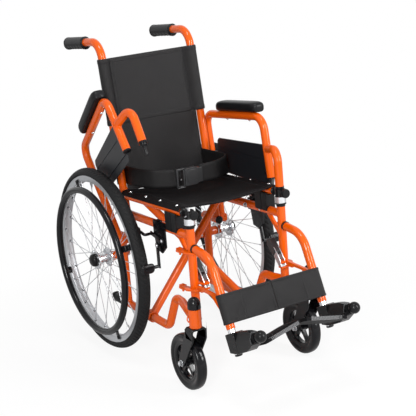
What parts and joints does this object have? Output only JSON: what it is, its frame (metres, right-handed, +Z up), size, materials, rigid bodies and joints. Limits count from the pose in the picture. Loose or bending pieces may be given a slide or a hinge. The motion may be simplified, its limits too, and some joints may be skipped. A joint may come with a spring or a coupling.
{
  "type": "wheelchair",
  "caption": "Folding manual wheelchair with a crossed steel frame, sling seat and back, flip-back armrests, swing-away footrests, wheel locks and swivel casters.",
  "frame": {"origin": "middle of the footprint, on the floor", "axes": "+X towards the left armrest as the occupant sits, +Y towards the push handles, +Z up"},
  "size_m": [0.4886, 0.9697, 0.8598],
  "materials": {
    "frame_paint": "glossy orange enamel on steel tube",
    "tyre": "black rubber with a low ribbed tread",
    "grip": "moulded black rubber with finger rings",
    "black_plastic": "black moulded plastic with a fine grain",
    "black_metal": "black powder coat on steel",
    "chrome": "bright plated steel",
    "spokes": "plated steel wire spokes on a plated hub",
    "rim_alloy": "satin silver rim",
    "arm_pad": "black self-skinned foam with a soft sheen",
    "nylon": "black woven nylon, stitched"
  },
  "bodies": {
    "right_frame": {"right_side_frame": "frame_paint", "right_push_grip": "grip", "right_saddle": "black_plastic", "right_arm_socket": "black_plastic", "right_brake_bracket": "black_metal", "back_sling": "nylon", "right_lap_belt": "nylon", "right_caster_cap": "black_plastic"},
    "left_frame": {"left_side_frame": "frame_paint", "left_push_grip": "grip", "left_saddle": "black_plastic", "left_arm_socket": "black_plastic", "left_brake_bracket": "black_metal", "left_lap_belt": "nylon", "left_caster_cap": "black_plastic"},
    "cross_a": {"cross_arm_right": "frame_paint", "cross_bolt": "chrome"},
    "cross_b": {"cross_arm_left": "frame_paint", "seat_sling": "nylon"},
    "buckle": {"belt_buckle": "black_plastic"},
    "right_rear_wheel": {"right_rear_tyre": "tyre", "right_rear_rim": "rim_alloy", "right_rear_hub": "spokes", "right_handrim": "black_plastic", "right_rear_axle": "chrome"},
    "right_caster": {"right_caster_fork": "black_metal", "right_caster_axle": "chrome"},
    "right_caster_roller": {"right_caster_wheel": "tyre"},
    "right_armrest": {"right_arm_frame": "frame_paint", "right_arm_pad": "arm_pad", "right_side_panel": "black_plastic"},
    "right_pull_knob": {"right_arm_knob": "black_plastic"},
    "right_lock_lever": {"right_brake_lever": "black_metal"},
    "right_lock_shoe": {"right_brake_shoe": "black_metal"},
    "right_front_hanger": {"right_hanger": "frame_paint", "right_calf_strap": "nylon"},
    "right_latch": {"right_hanger_latch": "black_metal"},
    "right_foot_slider": {"right_foot_tube": "chrome", "right_foot_block": "black_plastic"},
    "right_foot_rest": {"right_footplate": "black_plastic"},
    "left_rear_wheel": {"left_rear_tyre": "tyre", "left_rear_rim": "rim_alloy", "left_rear_hub": "spokes", "left_handrim": "black_plastic", "left_rear_axle": "chrome"},
    "left_caster": {"left_caster_fork": "black_metal", "left_caster_axle": "chrome"},
    "left_caster_roller": {"left_caster_wheel": "tyre"},
    "left_armrest": {"left_arm_frame": "frame_paint", "left_arm_pad": "arm_pad", "left_side_panel": "black_plastic"},
    "left_pull_knob": {"left_arm_knob": "black_plastic"},
    "left_lock_lever": {"left_brake_lever": "black_metal"},
    "left_lock_shoe": {"left_brake_shoe": "black_metal"},
    "left_front_hanger": {"left_hanger": "frame_paint", "left_calf_strap": "nylon"},
    "left_latch": {"left_hanger_latch": "black_metal"},
    "left_foot_slider": {"left_foot_tube": "chrome", "left_foot_block": "black_plastic"},
    "left_foot_rest": {"left_footplate": "black_plastic"}
  },
  "joints": [
    {"name": "fold", "type": "hinge", "parent": "right_frame", "child": "cross_a", "pos_m": [-0.138, 0.08185, 0.112], "axis": [0, -1, 0], "range_deg": [0, 24], "deforming": ["seat_sling", "back_sling", "right_lap_belt", "left_lap_belt", "right_calf_strap", "left_calf_strap"]},
    {"name": "cross_pivot", "type": "hinge", "parent": "cross_a", "child": "cross_b", "pos_m": [0, 0.06985, 0.27838], "axis": [0, -1, 0], "range_deg": [-50, 2]},
    {"name": "left_rail_pivot", "type": "hinge", "parent": "cross_b", "child": "left_frame", "pos_m": [0.138, 0.05785, 0.112], "axis": [0, -1, 0], "range_deg": [-1, 24]},
    {"name": "buckle_shift", "type": "slide", "parent": "right_frame", "child": "buckle", "axis": [1, 0, 0], "range_m": [-0.071, 0.002]},
    {"name": "right_wheel_spin", "type": "hinge", "parent": "right_frame", "child": "right_rear_wheel", "pos_m": [-0.199, 0.23285, 0.257], "axis": [1, 0, 0], "continuous": true},
    {"name": "right_caster_swivel", "type": "hinge", "parent": "right_frame", "child": "right_caster", "pos_m": [-0.177, -0.22915, 0.2], "axis": [0, 0, 1], "continuous": true},
    {"name": "right_caster_roll", "type": "hinge", "parent": "right_caster", "child": "right_caster_roller", "pos_m": [-0.177, -0.17715, 0.075], "axis": [1, 0, 0], "continuous": true},
    {"name": "right_arm_flip", "type": "hinge", "parent": "right_frame", "child": "right_armrest", "pos_m": [-0.164, 0.17685, 0.3095], "axis": [-0.9761, -0.0556, -0.2099], "range_deg": [-31.7, 26.3]},
    {"name": "right_knob_pull", "type": "slide", "parent": "right_frame", "child": "right_pull_knob", "axis": [0, -1, 0], "range_m": [0, 0.006], "stiffness_N_per_m": 600},
    {"name": "right_lock_turn", "type": "hinge", "parent": "right_frame", "child": "right_lock_lever", "pos_m": [-0.156, -0.04915, 0.362], "axis": [-1, 0, 0], "range_deg": [-95.5, 0]},
    {"name": "right_shoe_turn", "type": "hinge", "parent": "right_frame", "child": "right_lock_shoe", "pos_m": [-0.159, -0.02915, 0.346], "axis": [-1, 0, 0], "range_deg": [-0.6, 15.6]},
    {"name": "right_hanger_swing", "type": "hinge", "parent": "right_frame", "child": "right_front_hanger", "pos_m": [-0.151, -0.13315, 0.3], "axis": [0, 0, -1], "range_deg": [0, 90]},
    {"name": "right_latch_turn", "type": "hinge", "parent": "right_frame", "child": "right_latch", "pos_m": [-0.117, -0.19215, 0.265], "axis": [0, 0, -1], "range_deg": [0, 25]},
    {"name": "right_foot_height", "type": "slide", "parent": "right_front_hanger", "child": "right_foot_slider", "axis": [0, -0.418, -0.9084], "range_m": [0, 0.05]},
    {"name": "right_plate_fold", "type": "hinge", "parent": "right_foot_slider", "child": "right_foot_rest", "pos_m": [-0.138, -0.3492, 0.1663], "axis": [0, -0.9084, 0.418], "range_deg": [-2, 98]},
    {"name": "left_wheel_spin", "type": "hinge", "parent": "left_frame", "child": "left_rear_wheel", "pos_m": [0.199, 0.23285, 0.257], "axis": [1, 0, 0], "continuous": true},
    {"name": "left_caster_swivel", "type": "hinge", "parent": "left_frame", "child": "left_caster", "pos_m": [0.177, -0.22915, 0.2], "axis": [0, 0, 1], "continuous": true},
    {"name": "left_caster_roll", "type": "hinge", "parent": "left_caster", "child": "left_caster_roller", "pos_m": [0.177, -0.17715, 0.075], "axis": [1, 0, 0], "continuous": true},
    {"name": "left_arm_flip", "type": "hinge", "parent": "left_frame", "child": "left_armrest", "pos_m": [0.164, 0.17685, 0.3095], "axis": [-0.9761, 0.0556, 0.2099], "range_deg": [0, 58]},
    {"name": "left_knob_pull", "type": "slide", "parent": "left_frame", "child": "left_pull_knob", "axis": [0, -1, 0], "range_m": [0, 0.006], "stiffness_N_per_m": 600},
    {"name": "left_lock_turn", "type": "hinge", "parent": "left_frame", "child": "left_lock_lever", "pos_m": [0.156, -0.04915, 0.362], "axis": [-1, 0, 0], "range_deg": [0, 95.5]},
    {"name": "left_shoe_turn", "type": "hinge", "parent": "left_frame", "child": "left_lock_shoe", "pos_m": [0.159, -0.02915, 0.346], "axis": [-1, 0, 0], "range_deg": [-15.6, 0.6]},
    {"name": "left_hanger_swing", "type": "hinge", "parent": "left_frame", "child": "left_front_hanger", "pos_m": [0.151, -0.13315, 0.3], "axis": [0, 0, 1], "range_deg": [0, 90]},
    {"name": "left_latch_turn", "type": "hinge", "parent": "left_frame", "child": "left_latch", "pos_m": [0.117, -0.19215, 0.265], "axis": [0, 0, 1], "range_deg": [0, 25]},
    {"name": "left_foot_height", "type": "slide", "parent": "left_front_hanger", "child": "left_foot_slider", "axis": [0, -0.418, -0.9084], "range_m": [0, 0.05]},
    {"name": "left_plate_fold", "type": "hinge", "parent": "left_foot_slider", "child": "left_foot_rest", "pos_m": [0.138, -0.3492, 0.1663], "axis": [0, 0.9084, -0.418], "range_deg": [-2, 98]}
  ],
  "couplings": [
    {"joint": "cross_pivot", "follows": "fold", "ratio": -2},
    {"joint": "left_rail_pivot", "follows": "fold", "ratio": 0.96},
    {"joint": "buckle_shift", "follows": "fold", "m_per_rad": -0.165},
    {"joint": "right_shoe_turn", "follows": "right_lock_turn", "ratio": -0.15707},
    {"joint": "right_plate_fold", "follows": "fold", "ratio": 4},
    {"joint": "left_shoe_turn", "follows": "left_lock_turn", "ratio": -0.15707},
    {"joint": "left_plate_fold", "follows": "fold", "ratio": 4}
  ]
}
